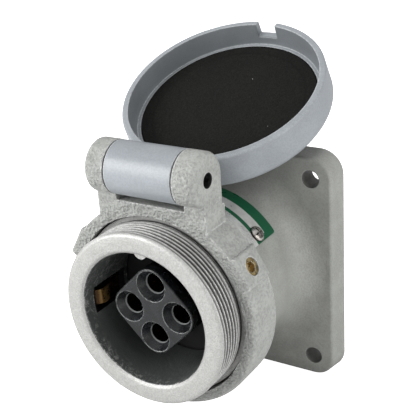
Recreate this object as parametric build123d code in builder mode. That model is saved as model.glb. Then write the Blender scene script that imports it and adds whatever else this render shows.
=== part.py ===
from build123d import *
import os
from math import atan2, cos, degrees, pi, radians, sin

# Flange-mounted pin-and-sleeve power inlet with a hinged cover, in millimetres.
# The origin is the centre of the flange's back face. X is to the right seen from
# the front, Z is up, and the device faces -Y. A "depth" is a distance forwards
# from the back face, so a point at depth d has y = -d.

# Housing: square flange and round neck, one casting
FLANGE_SIDE = 111.2
FLANGE_THICK = 10.4
FLANGE_DRAFT = 8.2          # degrees, towards the front face
FLANGE_CORNER_R = 11.0
FLANGE_EDGE_R = 1.2
BOLT_SPACING = 88.9
BOLT_HOLE_R = 4.0
NECK_R = 39.6
NECK_END = 62.0
FLARE_R = 12.0
REAR_OPENING_R = 36.5
REAR_OPENING_END = 12.0
WIRING_BORE_R = 33.0
WIRING_BORE_START = 16.0
SHOULDER = 42.0             # depth of the seat for the front insulator
SLEEVE_SEAT_R = 36.0

# Threaded sleeve
FACE = 82.3                 # depth of the sleeve's front face
SLEEVE_END = 50.0
SLEEVE_BORE_R = 30.6
FACE_INNER_R = 31.9
FACE_OUTER_R = 38.2
MOUTH_CHAMFER = 1.3
THREAD_R = 39.7
THREAD_ROOT_R = 38.4
THREAD_PITCH = 25.4 / 12
THREAD_TURNS = 6
THREAD_START = 81.2         # depth of the first thread groove's front edge
STOP_RING_R = 41.4          # ring that keeps the hinge collar on the neck
STOP_RING_FRONT = 66.0
SPIGOT_CLEARANCE = 0.05
KEY_R = 3.2
KEY_CENTRE = 30.4
KEY_FRONT = 78.6
KEY_LENGTH = 18.0

# Grounding leaves, in channels at three and nine o'clock
CHANNEL_WIDTH = 12.5
CHANNEL_CENTRE_Z = -0.6
CHANNEL_R = 33.6
CHANNEL_FRONT = 74.8
CHANNEL_END = 52.0
LEAF_WIDTH = 7.0
LEAF_THICK = 0.8
LEAF_FRONT = 73.0
LEAF_CREST = 67.5
LEAF_BOW_END = 62.0
LEAF_END = 53.5
LEAF_CREST_R = 29.0
RIVET_DEPTH = 57.0
RIVET_R = 1.5
RIVET_HEAD_R = 2.6
RIVET_HEAD = 0.9
RIVET_SINK = 1.4

# Insulators
POST_SIDE = 33.6
POST_CORNER_R = 8.6
POST_FACE = 73.5
POST_EDGE_R = 0.7
SEAL_THICK = 1.2
DISC_R = 35.7
DISC_FRONT = SLEEVE_END - SEAL_THICK
CONTACT_CIRCLE_R = 12.1
FUNNEL_R = 7.2
FUNNEL_END = 69.6
ENTRY_R = 4.5
CHAMBER_FRONT = 59.2
CHAMBER_R = 6.4
COLLAR_RECESS_R = 7.3
REAR_DISC_R = 32.7
REAR_DISC_START = 34.0

# Contacts
CONTACT_FRONT = 59.0
CONTACT_R = 5.6
CONTACT_BORE_R = 4.0
CONTACT_BORE_END = 46.0
CONTACT_SLOT = 0.8
CONTACT_SLOT_END = 50.0
CONTACT_COLLAR_R = 7.2
CONTACT_COLLAR_THICK = 2.2
CONTACT_REAR = 18.0
WIRE_BORE_R = 3.4
WIRE_BORE_DEPTH = 18.0
BAND_FRONT = 57.0
BAND_WIDTH = 4.0
BAND_THICK = 0.45
TERMINAL_SCREW_R = 2.4
TERMINAL_SCREW_DEPTH = 26.0
TERMINAL_SCREW_INNER = 3.6  # from the contact's own axis
TERMINAL_SCREW_OUTER = 9.8
SCREW_CLEARANCE = 0.05

# Screws that join the two insulators
CLAMP_SCREW_CIRCLE_R = 25.0
CLAMP_SCREW_R = 2.0
CLAMP_SCREW_TIP = 47.0
CLAMP_HEAD_R = 3.7
CLAMP_HEAD_THICK = 2.6
SLOT_WIDTH = 1.0
SLOT_DEPTH = 1.1

# Ground screw on a boss inside the rear opening
BOSS_WIDTH = 13.0
BOSS_TOP_Z = -26.5
BOSS_START = 8.0
BOSS_END = 18.0
GROUND_SCREW_Z = -31.0
GROUND_SCREW_R = 2.5
GROUND_HEAD_R = 4.3
GROUND_HEAD_THICK = 3.2

# Hinge collar
COLLAR_BACK = 51.5
COLLAR_FRONT = 68.9
COLLAR_R = 47.4
COLLAR_BORE_R = 39.7
COLLAR_MOUTH_R = 42.1
COLLAR_MOUTH_DEPTH = 7.2
COLLAR_EDGE_R = 3.2         # round the lower half only
PLATE_FOOT_Z = 22.0         # the flat-fronted upper half starts here
PLATE_TOP_Z = 47.3          # edge of the slot under the hinge barrel
PAD_ANGLE = 30.0            # above horizontal, on both sides
PAD_FACE_R = 48.7
PAD_WIDTH = 14.4
PAD_EDGE_R = 1.4
SET_SCREW_DEPTH = 60.2
SET_SCREW_R = 3.9
SET_SCREW_DOG_R = 1.6       # its narrow tip bears on the neck
SET_SCREW_SINK = 0.6
SET_SCREW_SOCKET = 4.4      # across flats
SET_SCREW_SOCKET_DEPTH = 3.0
NUB_R = 2.6
NUB_HEIGHT = 1.9

# Hinge
HINGE_DEPTH = 65.3
HINGE_Z = 61.0
LUG_R = 11.6
LUG_INNER_X = 16.9
LUG_OUTER_X = 26.7
LUG_FOOT_Z = 33.0
LUG_EDGE_R = 2.4
PIN_R = 3.15
PIN_HOLE_R = 3.2
PIN_HALF_LENGTH = 22.6
BARREL_R = 11.5
BARREL_HALF_LENGTH = 16.2
BARREL_BORE_R = 3.22
SPRING_ROOM_R = 6.5
SPRING_ROOM_HALF = 11.0
SPRING_WIRE_R = 0.75
SPRING_COIL_R = 5.0
SPRING_TURNS = 11
SPRING_HALF = 9.2

# Cover, described closed and then swung open
OPEN_ANGLE = 244.3          # degrees from closed to open
GASKET_R = 41.5
GASKET_THICK = 3.2
GASKET_GAP = 0.3            # between the gasket and the sleeve's face, closed
GASKET_POCKET_R = 41.7
LEDGE = 83.0                # depth of the ledge round the gasket
DISH_FLOOR = FACE + GASKET_GAP + GASKET_THICK
RIM_EDGE = 72.2
RIM_INNER_R = 44.3
LEDGE_R = 43.5
RIM_OUTER_R = 47.2
DISH_R = 47.9
DISH_SIDE_END = 85.4
DISH_BACK = 88.8
DISH_CROWN = 90.2
DISH_CROWN_R = 36.0
DISH_BACK_R = 3.4
RIM_EDGE_R = 0.9
NOTCH_CENTRE_X = 1.5
NOTCH_WIDTH = 10.0
NOTCH_DEPTH = 6.8
ARM_HALF_WIDTH = 13.0
ARM_SLOPE = 33.6            # degrees below the forward direction
ARM_ABOVE = 3.3
ARM_BELOW = 6.0
ARM_REACH = 24.0

# Nameplate
PLATE_REAR = 23.3
PLATE_FRONT = 43.0
PLATE_ANGLE = 34.5          # lower edge above horizontal, on both sides
PLATE_THICK = 0.5
PLATE_CORNER_R = 1.5
DRIVE_SCREW_ANGLE = 40.4
DRIVE_SCREW_DEPTH = 34.8
DRIVE_SCREW_R = 1.4
DRIVE_SCREW_LENGTH = 2.8
DRIVE_HEAD_R = 3.5
DRIVE_HEAD_THICK = 1.7


def turn(profile, mode=Mode.ADD):
    """Revolve a closed outline of (depth, radius) corners about the device's axis."""
    with BuildSketch(Plane.YZ) as outline:
        with BuildLine():
            Polyline([(-depth, radius) for depth, radius in profile], close=True)
        make_face()
    revolve(outline.sketch, axis=Axis.Y, mode=mode)


def disc(radius, start, end, places=((0, 0),), mode=Mode.ADD):
    """Put round bars of one radius at (x, z) places between two depths."""
    with BuildSketch(Plane.XZ.offset(start)) as section:
        with Locations(*places):
            Circle(radius)
    extrude(section.sketch, amount=end - start, mode=mode)


def contact_places(radius=CONTACT_CIRCLE_R):
    """The (x, z) places at three, twelve, nine and six o'clock."""
    return [(radius * cos(k * pi / 2), radius * sin(k * pi / 2)) for k in range(4)]


def clamp_places():
    """The (x, z) places of the two clamp screws, on one diagonal."""
    reach = CLAMP_SCREW_CIRCLE_R * cos(pi / 4)
    return [(reach, reach), (-reach, -reach)]


def radial_plane(angle, depth, distance):
    """A plane facing outwards at an angle above +X, its x axis along +Y."""
    a = radians(angle)
    outwards = (cos(a), 0, sin(a))
    origin = (distance * cos(a), -depth, distance * sin(a))
    return Plane(origin=origin, x_dir=(0, 1, 0), z_dir=outwards)


def finish(builder, label):
    """Name one finished piece and write it."""
    builder.part.label = label
    export_step(builder.part, f"parts/{label}.step")


os.makedirs("parts", exist_ok=True)

# Housing -------------------------------------------------------------------

with BuildPart() as housing:
    with BuildSketch(Plane.XZ):
        RectangleRounded(FLANGE_SIDE, FLANGE_SIDE, FLANGE_CORNER_R)
    extrude(amount=FLANGE_THICK, taper=FLANGE_DRAFT)
    fillet(housing.faces().sort_by(Axis.Y)[0].edges(), FLANGE_EDGE_R)
    with BuildSketch(Plane.YZ):
        with BuildLine():
            flare = CenterArc((-FLANGE_THICK - FLARE_R, NECK_R + FLARE_R), FLARE_R, 270, 90)
            Polyline(flare @ 0, (-NECK_END, NECK_R), (-NECK_END, 0), (0, 0), (0, NECK_R + FLARE_R),
                     flare @ 1)
        make_face()
    revolve(axis=Axis.Y)
    turn([(0, 0), (0, REAR_OPENING_R), (REAR_OPENING_END, REAR_OPENING_R),
          (WIRING_BORE_START, WIRING_BORE_R), (SHOULDER, WIRING_BORE_R),
          (SHOULDER, SLEEVE_SEAT_R), (NECK_END, SLEEVE_SEAT_R), (NECK_END, 0)], mode=Mode.SUBTRACT)
    with BuildSketch(Plane.XZ.offset(BOSS_START)):
        with Locations((0, (BOSS_TOP_Z - REAR_OPENING_R) / 2)):
            Rectangle(BOSS_WIDTH, REAR_OPENING_R + BOSS_TOP_Z + 3)
    extrude(amount=BOSS_END - BOSS_START)
    disc(GROUND_SCREW_R, 0, BOSS_END - 1, [(0, GROUND_SCREW_Z)], mode=Mode.SUBTRACT)
    with BuildSketch(Plane.XZ):
        with GridLocations(BOLT_SPACING, BOLT_SPACING, 2, 2):
            Circle(BOLT_HOLE_R)
    extrude(amount=FLANGE_THICK + FLARE_R, mode=Mode.SUBTRACT)
    for side in (DRIVE_SCREW_ANGLE, 180 - DRIVE_SCREW_ANGLE):
        with BuildSketch(radial_plane(side, DRIVE_SCREW_DEPTH, NECK_R + 1)):
            Circle(DRIVE_SCREW_R)
        extrude(amount=-DRIVE_SCREW_LENGTH - 1, mode=Mode.SUBTRACT)
finish(housing, "housing")

# Threaded sleeve -------------------------------------------------------------

with BuildPart() as threaded_sleeve:
    spigot_r = SLEEVE_SEAT_R - SPIGOT_CLEARANCE
    turn([(SLEEVE_END, SLEEVE_BORE_R), (SLEEVE_END, spigot_r), (NECK_END, spigot_r),
          (NECK_END, STOP_RING_R), (STOP_RING_FRONT, STOP_RING_R),
          (STOP_RING_FRONT, THREAD_ROOT_R),
          (THREAD_START - THREAD_TURNS * THREAD_PITCH, THREAD_ROOT_R),
          (THREAD_START - THREAD_TURNS * THREAD_PITCH, THREAD_R), (THREAD_START - 0.2, THREAD_R),
          (FACE, FACE_OUTER_R), (FACE, FACE_INNER_R), (FACE - MOUTH_CHAMFER, SLEEVE_BORE_R)])
    for groove in range(THREAD_TURNS):
        front = THREAD_START - THREAD_PITCH * (groove + 0.15)
        turn([(front, THREAD_R + 0.1), (front - THREAD_PITCH * 0.7, THREAD_R + 0.1),
              (front - THREAD_PITCH * 0.35, THREAD_ROOT_R)], mode=Mode.SUBTRACT)
    disc(KEY_R, KEY_FRONT - KEY_LENGTH, KEY_FRONT, [(0, KEY_CENTRE)])
    for side in (-1, 1):
        with BuildSketch(Plane.XZ.offset(CHANNEL_END)):
            with Locations((side * (CHANNEL_R + SLEEVE_BORE_R - 6) / 2, CHANNEL_CENTRE_Z)):
                Rectangle(CHANNEL_R - SLEEVE_BORE_R + 6, CHANNEL_WIDTH)
        extrude(amount=CHANNEL_FRONT - CHANNEL_END, mode=Mode.SUBTRACT)
        with BuildSketch(Plane.YZ.offset(side * CHANNEL_R)):
            with Locations((-RIVET_DEPTH, CHANNEL_CENTRE_Z)):
                Circle(RIVET_R)
        extrude(amount=side * RIVET_SINK, mode=Mode.SUBTRACT)
finish(threaded_sleeve, "threaded_sleeve")

with BuildPart() as sleeve_seal:
    turn([(SLEEVE_END - SEAL_THICK, SLEEVE_BORE_R + 0.4), (SLEEVE_END - SEAL_THICK, DISC_R),
          (SLEEVE_END, DISC_R), (SLEEVE_END, SLEEVE_BORE_R + 0.4)])
finish(sleeve_seal, "sleeve_seal")

# Grounding leaves ------------------------------------------------------------


def ground_leaf(side):
    """A bowed strip that stands in one of the sleeve's channels."""
    wall = CHANNEL_R - LEAF_THICK
    with BuildPart() as leaf:
        with BuildSketch(Plane.XY.offset(CHANNEL_CENTRE_Z - LEAF_WIDTH / 2)):
            with BuildLine():
                inner = ThreePointArc((side * wall, -LEAF_FRONT), (side * LEAF_CREST_R, -LEAF_CREST),
                                      (side * wall, -LEAF_BOW_END))
                outer = ThreePointArc((side * CHANNEL_R, -LEAF_FRONT),
                                      (side * (LEAF_CREST_R + LEAF_THICK), -LEAF_CREST),
                                      (side * CHANNEL_R, -LEAF_BOW_END))
                Line(inner @ 0, outer @ 0)
                Polyline(inner @ 1, (side * wall, -LEAF_END), (side * CHANNEL_R, -LEAF_END),
                         outer @ 1)
            make_face()
        extrude(amount=LEAF_WIDTH)
        with BuildSketch(Plane.YZ):
            with Locations((-RIVET_DEPTH, CHANNEL_CENTRE_Z)):
                Circle(RIVET_R)
        extrude(amount=side * (CHANNEL_R + 1), mode=Mode.SUBTRACT)
    return leaf


finish(ground_leaf(-1), "ground_leaf_left")
finish(ground_leaf(1), "ground_leaf_right")

with BuildPart() as ground_leaf_rivets:
    for side in (-1, 1):
        with BuildSketch(Plane.YZ.offset(side * (CHANNEL_R - LEAF_THICK))):
            with Locations((-RIVET_DEPTH, CHANNEL_CENTRE_Z)):
                Circle(RIVET_HEAD_R)
        extrude(amount=-side * RIVET_HEAD)
        with BuildSketch(Plane.YZ.offset(side * (CHANNEL_R - LEAF_THICK))):
            with Locations((-RIVET_DEPTH, CHANNEL_CENTRE_Z)):
                Circle(RIVET_R)
        extrude(amount=side * (LEAF_THICK + RIVET_SINK))
finish(ground_leaf_rivets, "ground_leaf_rivets")

# Insulators ------------------------------------------------------------------

with BuildPart() as contact_post:
    with BuildSketch(Plane.XZ.offset(DISC_FRONT)):
        RectangleRounded(POST_SIDE, POST_SIDE, POST_CORNER_R, rotation=45)
    extrude(amount=POST_FACE - DISC_FRONT)
    fillet(contact_post.faces().sort_by(Axis.Y)[0].edges(), POST_EDGE_R)
    for place in contact_places():
        with BuildSketch(Plane.XZ.offset(FUNNEL_END)) as throat:
            with Locations(place):
                Circle(ENTRY_R)
        with BuildSketch(Plane.XZ.offset(POST_FACE)) as mouth:
            with Locations(place):
                Circle(FUNNEL_R)
        loft(mode=Mode.SUBTRACT)
    disc(ENTRY_R, DISC_FRONT, FUNNEL_END, contact_places(), mode=Mode.SUBTRACT)
    disc(CHAMBER_R, DISC_FRONT, CHAMBER_FRONT, contact_places(), mode=Mode.SUBTRACT)
finish(contact_post, "contact_post")

with BuildPart() as insulator_disc:
    disc(DISC_R, SHOULDER, DISC_FRONT)
    disc(CHAMBER_R, SHOULDER, DISC_FRONT, contact_places(), mode=Mode.SUBTRACT)
    disc(COLLAR_RECESS_R, SHOULDER, SHOULDER + CONTACT_COLLAR_THICK, contact_places(),
         mode=Mode.SUBTRACT)
    disc(CLAMP_SCREW_R, SHOULDER, CLAMP_SCREW_TIP, clamp_places(), mode=Mode.SUBTRACT)
finish(insulator_disc, "insulator_disc")

with BuildPart() as insulator_rear:
    disc(REAR_DISC_R, REAR_DISC_START, SHOULDER)
    disc(CONTACT_R + 0.1, REAR_DISC_START, SHOULDER, contact_places(), mode=Mode.SUBTRACT)
    disc(CLAMP_SCREW_R, REAR_DISC_START, SHOULDER, clamp_places(), mode=Mode.SUBTRACT)
    fillet(insulator_rear.faces().sort_by(Axis.Y)[-1].outer_wire().edges(), POST_EDGE_R)
finish(insulator_rear, "insulator_rear")

with BuildPart() as insulator_screws:
    disc(CLAMP_SCREW_R, REAR_DISC_START - 0.5, CLAMP_SCREW_TIP, clamp_places())
    disc(CLAMP_HEAD_R, REAR_DISC_START - CLAMP_HEAD_THICK, REAR_DISC_START, clamp_places())
    with BuildSketch(Plane.XZ.offset(REAR_DISC_START - CLAMP_HEAD_THICK)):
        with Locations(*clamp_places()):
            Rectangle(2 * CLAMP_HEAD_R + 1, SLOT_WIDTH)
    extrude(amount=SLOT_DEPTH, mode=Mode.SUBTRACT)
finish(insulator_screws, "insulator_screws")

# Contacts and their terminals --------------------------------------------------


def contact(place):
    """A slotted contact tube with its wire terminal, at one (x, z) place."""
    x, z = place
    outwards = degrees(atan2(z, x))
    with BuildPart() as body:
        disc(CONTACT_R, CONTACT_REAR, CONTACT_FRONT, [place])
        disc(CONTACT_COLLAR_R, SHOULDER, SHOULDER + CONTACT_COLLAR_THICK, [place])
        disc(CONTACT_BORE_R, CONTACT_BORE_END, CONTACT_FRONT, [place], mode=Mode.SUBTRACT)
        disc(WIRE_BORE_R, CONTACT_REAR, CONTACT_REAR + WIRE_BORE_DEPTH, [place],
             mode=Mode.SUBTRACT)
        with BuildSketch(Plane.XZ.offset(CONTACT_SLOT_END)):
            with Locations(place):
                Rectangle(2 * CONTACT_R + 1, CONTACT_SLOT, rotation=45)
                Rectangle(2 * CONTACT_R + 1, CONTACT_SLOT, rotation=-45)
        extrude(amount=CONTACT_FRONT - CONTACT_SLOT_END, mode=Mode.SUBTRACT)
        with BuildSketch(radial_plane(outwards, TERMINAL_SCREW_DEPTH, CONTACT_CIRCLE_R)):
            Circle(TERMINAL_SCREW_R + SCREW_CLEARANCE)
        extrude(amount=CONTACT_R + 1, mode=Mode.SUBTRACT)
    return body


for place, word in zip(contact_places(), ("right", "top", "left", "bottom")):
    finish(contact(place), f"contact_{word}")

with BuildPart() as contact_bands:
    disc(CONTACT_R + BAND_THICK, BAND_FRONT - BAND_WIDTH, BAND_FRONT, contact_places())
    disc(CONTACT_R, BAND_FRONT - BAND_WIDTH, BAND_FRONT, contact_places(), mode=Mode.SUBTRACT)
finish(contact_bands, "contact_bands")

with BuildPart() as terminal_screws:
    for quarter in range(4):
        angle = 90 * quarter
        inner = CONTACT_CIRCLE_R + TERMINAL_SCREW_INNER
        outer = CONTACT_CIRCLE_R + TERMINAL_SCREW_OUTER
        with BuildSketch(radial_plane(angle, TERMINAL_SCREW_DEPTH, inner)):
            Circle(TERMINAL_SCREW_R)
        extrude(amount=outer - inner)
        with BuildSketch(radial_plane(angle, TERMINAL_SCREW_DEPTH, outer)):
            Rectangle(SLOT_WIDTH, 2 * TERMINAL_SCREW_R + 1)
        extrude(amount=-SLOT_DEPTH, mode=Mode.SUBTRACT)
finish(terminal_screws, "terminal_screws")

# Ground screw ------------------------------------------------------------------

with BuildPart() as ground_screw:
    disc(GROUND_SCREW_R, BOSS_START - 0.5, BOSS_END - 1.5, [(0, GROUND_SCREW_Z)])
    with BuildSketch(Plane.XZ.offset(BOSS_START - GROUND_HEAD_THICK)):
        with Locations((0, GROUND_SCREW_Z)):
            RegularPolygon(GROUND_HEAD_R, 6)
    extrude(amount=GROUND_HEAD_THICK)
    with BuildSketch(Plane.XZ.offset(BOSS_START - GROUND_HEAD_THICK)):
        with Locations((0, GROUND_SCREW_Z)):
            Rectangle(2 * GROUND_HEAD_R + 1, SLOT_WIDTH)
    extrude(amount=SLOT_DEPTH, mode=Mode.SUBTRACT)
finish(ground_screw, "ground_screw")

# Hinge collar ------------------------------------------------------------------

with BuildPart() as hinge_collar:
    turn([(COLLAR_BACK, 0), (COLLAR_BACK, COLLAR_R), (COLLAR_FRONT, COLLAR_R), (COLLAR_FRONT, 0)])
    fillet(hinge_collar.edges().filter_by(GeomType.CIRCLE).sort_by(Axis.Y)[0], COLLAR_EDGE_R)
    for side in (PAD_ANGLE, 180 - PAD_ANGLE):
        with BuildSketch(radial_plane(side, (COLLAR_BACK + COLLAR_FRONT) / 2, COLLAR_BORE_R)):
            Rectangle(COLLAR_FRONT - COLLAR_BACK, PAD_WIDTH)
        extrude(amount=PAD_FACE_R - COLLAR_BORE_R)
    pad_faces = hinge_collar.faces().filter_by(GeomType.PLANE).filter_by(
        lambda face: abs(face.center().Z - PAD_FACE_R * sin(radians(PAD_ANGLE))) < 1
        and abs(abs(face.center().X) - PAD_FACE_R * cos(radians(PAD_ANGLE))) < 1)
    fillet(pad_faces.edges(), PAD_EDGE_R)
    for side in (-1, 1):
        with BuildSketch(Plane.YZ.offset(side * LUG_INNER_X)):
            with BuildLine():
                Polyline([(-COLLAR_FRONT, LUG_FOOT_Z), (-COLLAR_FRONT, HINGE_Z - LUG_R / 2),
                          (-HINGE_DEPTH, HINGE_Z), (LUG_R - HINGE_DEPTH, HINGE_Z),
                          (LUG_R - HINGE_DEPTH, LUG_FOOT_Z)], close=True)
            make_face()
            with Locations((-HINGE_DEPTH, HINGE_Z)):
                Circle(LUG_R)
        extrude(amount=side * (LUG_OUTER_X - LUG_INNER_X))
    lug_rims = hinge_collar.edges().filter_by(GeomType.CIRCLE).filter_by(
        lambda edge: abs(abs(edge.center().X) - LUG_OUTER_X) < 0.1 and edge.center().Z > HINGE_Z - LUG_R)
    fillet(lug_rims, LUG_EDGE_R)
    with BuildSketch(Plane.XZ.offset(COLLAR_BACK)):
        Circle(COLLAR_R)
        with Locations((0, PLATE_FOOT_Z - COLLAR_R)):
            Rectangle(2 * COLLAR_R, 2 * COLLAR_R, mode=Mode.SUBTRACT)
    extrude(amount=COLLAR_FRONT - COLLAR_BACK)
    with BuildSketch(Plane.XZ.offset(HINGE_DEPTH - LUG_R)):
        with Locations((0, (LUG_FOOT_Z + PLATE_TOP_Z) / 2)):
            Rectangle(2 * LUG_OUTER_X, PLATE_TOP_Z - LUG_FOOT_Z)
    extrude(amount=COLLAR_FRONT - HINGE_DEPTH + LUG_R)
    turn([(COLLAR_BACK, 0), (COLLAR_BACK, COLLAR_BORE_R),
          (COLLAR_FRONT - COLLAR_MOUTH_DEPTH, COLLAR_BORE_R),
          (COLLAR_FRONT - COLLAR_MOUTH_DEPTH, COLLAR_MOUTH_R),
          (COLLAR_FRONT, COLLAR_MOUTH_R), (COLLAR_FRONT, 0)], mode=Mode.SUBTRACT)
    with BuildSketch(Plane.YZ.offset(-LUG_OUTER_X - 1)):
        with Locations((-HINGE_DEPTH, HINGE_Z)):
            Circle(PIN_HOLE_R)
    extrude(amount=2 * LUG_OUTER_X + 2, mode=Mode.SUBTRACT)
    for side in (PAD_ANGLE, 180 - PAD_ANGLE):
        with BuildSketch(radial_plane(side, SET_SCREW_DEPTH, PAD_FACE_R + 1)):
            Circle(SET_SCREW_R + SCREW_CLEARANCE)
        extrude(amount=COLLAR_BORE_R - PAD_FACE_R - 2, mode=Mode.SUBTRACT)
    with BuildSketch(Plane.XY.offset(-COLLAR_R - NUB_HEIGHT)):
        with Locations((0, -SET_SCREW_DEPTH)):
            Circle(NUB_R)
    extrude(amount=NUB_HEIGHT + 1)
finish(hinge_collar, "hinge_collar")

with BuildPart() as collar_set_screws:
    for side in (PAD_ANGLE, 180 - PAD_ANGLE):
        with BuildSketch(radial_plane(side, SET_SCREW_DEPTH, COLLAR_BORE_R)):
            Circle(SET_SCREW_DOG_R)
        extrude(amount=COLLAR_MOUTH_R + 1 - COLLAR_BORE_R)
        with BuildSketch(radial_plane(side, SET_SCREW_DEPTH, COLLAR_MOUTH_R + 0.5)):
            Circle(SET_SCREW_R)
        extrude(amount=PAD_FACE_R - SET_SCREW_SINK - COLLAR_MOUTH_R - 0.5)
        with BuildSketch(radial_plane(side, SET_SCREW_DEPTH, PAD_FACE_R - SET_SCREW_SINK)):
            RegularPolygon(SET_SCREW_SOCKET / 2, 6, major_radius=False)
        extrude(amount=-SET_SCREW_SOCKET_DEPTH, mode=Mode.SUBTRACT)
finish(collar_set_screws, "collar_set_screws")

# Hinge pin and spring ------------------------------------------------------------

with BuildPart() as hinge_pin:
    with BuildSketch(Plane.YZ.offset(-PIN_HALF_LENGTH)):
        with Locations((-HINGE_DEPTH, HINGE_Z)):
            Circle(PIN_R)
    extrude(amount=2 * PIN_HALF_LENGTH)
    chamfer(hinge_pin.edges().filter_by(GeomType.CIRCLE), 0.5)
finish(hinge_pin, "hinge_pin")

with BuildPart() as lid_spring:
    with BuildLine() as coil:
        Helix(2 * SPRING_HALF / SPRING_TURNS, 2 * SPRING_HALF, SPRING_COIL_R,
              center=(-SPRING_HALF, -HINGE_DEPTH, HINGE_Z), direction=(1, 0, 0))
    with BuildSketch(Plane(origin=coil.line @ 0, z_dir=coil.line % 0)):
        Circle(SPRING_WIRE_R)
    sweep(path=coil.line, is_frenet=True)
finish(lid_spring, "lid_spring")

# Cover and gasket, made closed and swung open about the hinge ------------------------

HINGE_AXIS = Axis((0, -HINGE_DEPTH, HINGE_Z), (1, 0, 0))


def arm_outline():
    """The corners, as (y, z), of the arm from the barrel to the dish's back edge."""
    a = radians(ARM_SLOPE)
    along = (-cos(a), -sin(a))
    across = (sin(a), -cos(a))

    def point(reach, below):
        return (-HINGE_DEPTH + reach * along[0] + below * across[0],
                HINGE_Z + reach * along[1] + below * across[1])

    return [point(0, ARM_BELOW), (-RIM_EDGE, RIM_OUTER_R), (-RIM_EDGE, RIM_INNER_R),
            (-DISH_BACK, RIM_INNER_R - 4), point(ARM_REACH, -ARM_ABOVE), point(0, -ARM_ABOVE)]


with BuildPart() as lid_closed:
    turn([(RIM_EDGE, 0), (RIM_EDGE, RIM_OUTER_R), (DISH_SIDE_END, DISH_R),
          (DISH_BACK, DISH_R), (DISH_BACK, DISH_CROWN_R), (DISH_CROWN, DISH_CROWN_R - 6),
          (DISH_CROWN, 0)])
    back_edge = lid_closed.edges().filter_by(GeomType.CIRCLE).filter_by(
        lambda edge: abs(edge.radius - DISH_R) < 0.01 and edge.center().Y < -DISH_SIDE_END - 1)
    fillet(back_edge, DISH_BACK_R)
    rim_edge = lid_closed.edges().filter_by(GeomType.CIRCLE).filter_by(
        lambda edge: abs(edge.radius - RIM_OUTER_R) < 0.01)
    fillet(rim_edge, RIM_EDGE_R)
    with BuildSketch(Plane.YZ.offset(-ARM_HALF_WIDTH)):
        with BuildLine():
            Polyline(arm_outline(), close=True)
        make_face()
    extrude(amount=2 * ARM_HALF_WIDTH)
    turn([(RIM_EDGE, 0), (RIM_EDGE, RIM_INNER_R), (LEDGE, LEDGE_R), (LEDGE, GASKET_POCKET_R),
          (DISH_FLOOR, GASKET_POCKET_R), (DISH_FLOOR, 0)], mode=Mode.SUBTRACT)
    with BuildSketch(Plane.YZ.offset(-BARREL_HALF_LENGTH)):
        with Locations((-HINGE_DEPTH, HINGE_Z)):
            Circle(BARREL_R)
    extrude(amount=2 * BARREL_HALF_LENGTH)
    for bore_r, half in ((BARREL_BORE_R, BARREL_HALF_LENGTH), (SPRING_ROOM_R, SPRING_ROOM_HALF)):
        with BuildSketch(Plane.YZ.offset(-half)):
            with Locations((-HINGE_DEPTH, HINGE_Z)):
                Circle(bore_r)
        extrude(amount=2 * half, mode=Mode.SUBTRACT)
    with BuildSketch(Plane.XZ.offset(RIM_EDGE - 2)):
        with Locations((NOTCH_CENTRE_X, -(RIM_INNER_R + RIM_OUTER_R) / 2)):
            Rectangle(NOTCH_WIDTH, RIM_OUTER_R - RIM_INNER_R + 5)
    extrude(amount=NOTCH_DEPTH + 2, mode=Mode.SUBTRACT)

with BuildPart() as gasket_closed:
    disc(GASKET_R, FACE + GASKET_GAP, DISH_FLOOR)
    fillet(gasket_closed.edges().filter_by(GeomType.CIRCLE).sort_by(Axis.Y)[-1], 0.6)

for closed, label in ((lid_closed, "lid"), (gasket_closed, "lid_gasket")):
    with BuildPart() as opened:
        add(closed.part.rotate(HINGE_AXIS, -OPEN_ANGLE))
    finish(opened, label)

# Nameplate -----------------------------------------------------------------------

with BuildPart() as nameplate:
    with BuildSketch(Plane.XZ.offset(PLATE_REAR)):
        with BuildLine():
            outer = CenterArc((0, 0), NECK_R + PLATE_THICK, PLATE_ANGLE, 180 - 2 * PLATE_ANGLE)
            inner = CenterArc((0, 0), NECK_R, PLATE_ANGLE, 180 - 2 * PLATE_ANGLE)
            Line(outer @ 0, inner @ 0)
            Line(outer @ 1, inner @ 1)
        make_face()
    extrude(amount=PLATE_FRONT - PLATE_REAR)
    corners = nameplate.edges().filter_by(lambda edge: abs(edge.length - PLATE_THICK) < 0.01)
    fillet(corners, PLATE_CORNER_R)
    for side in (DRIVE_SCREW_ANGLE, 180 - DRIVE_SCREW_ANGLE):
        with BuildSketch(radial_plane(side, DRIVE_SCREW_DEPTH, NECK_R - 1)):
            Circle(DRIVE_SCREW_R)
        extrude(amount=PLATE_THICK + 2, mode=Mode.SUBTRACT)
finish(nameplate, "nameplate")

with BuildPart() as nameplate_screws:
    for side in (DRIVE_SCREW_ANGLE, 180 - DRIVE_SCREW_ANGLE):
        with BuildSketch(radial_plane(side, DRIVE_SCREW_DEPTH, NECK_R + PLATE_THICK)):
            Circle(DRIVE_HEAD_R)
        extrude(amount=DRIVE_HEAD_THICK)
        with BuildSketch(radial_plane(side, DRIVE_SCREW_DEPTH, NECK_R + PLATE_THICK)):
            Circle(DRIVE_SCREW_R)
        extrude(amount=-DRIVE_SCREW_LENGTH)
    tops = nameplate_screws.edges().filter_by(
        lambda edge: edge.geom_type == GeomType.CIRCLE and edge.radius > DRIVE_HEAD_R - 0.01
        and edge.center().Z > (NECK_R + PLATE_THICK + 0.5) * sin(radians(DRIVE_SCREW_ANGLE)))
    fillet(tops, 0.8)
finish(nameplate_screws, "nameplate_screws")
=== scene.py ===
import bpy
import math
import numpy as np
from mathutils import Matrix, Vector


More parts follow.
